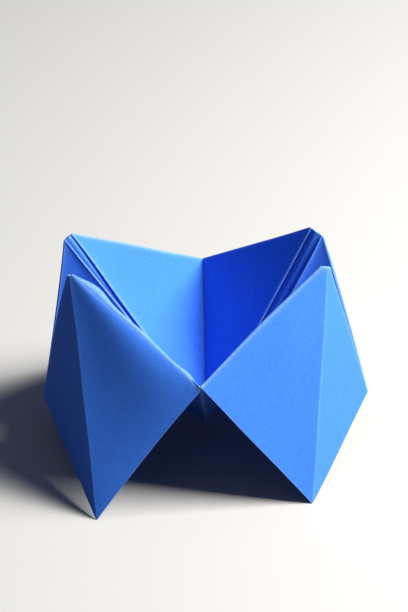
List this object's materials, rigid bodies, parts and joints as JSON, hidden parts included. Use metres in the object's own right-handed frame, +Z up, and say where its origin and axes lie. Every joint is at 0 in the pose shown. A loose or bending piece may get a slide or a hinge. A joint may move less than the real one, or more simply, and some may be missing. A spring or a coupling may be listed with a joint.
{
  "type": "paper fortune teller",
  "caption": "Folded paper fortune teller: one square sheet with four finger pockets, opened and standing on its raw corners.",
  "frame": {"origin": "middle of the bounding box's underside, below the sheet's centre, on the plane that the four raw corners stand on", "axes": "+Z up, from the raw corners to the tips; X across the open mouth, from the left pair of pockets to the right pair; Y from the front pockets to the back ones"},
  "size_m": [0.073, 0.0676, 0.0453],
  "materials": {
    "blue_paper": "uncoated, mass-dyed blue paper, matt"
  },
  "bodies": {
    "root": {"folded_sheet": "blue_paper"}
  },
  "joints": []
}
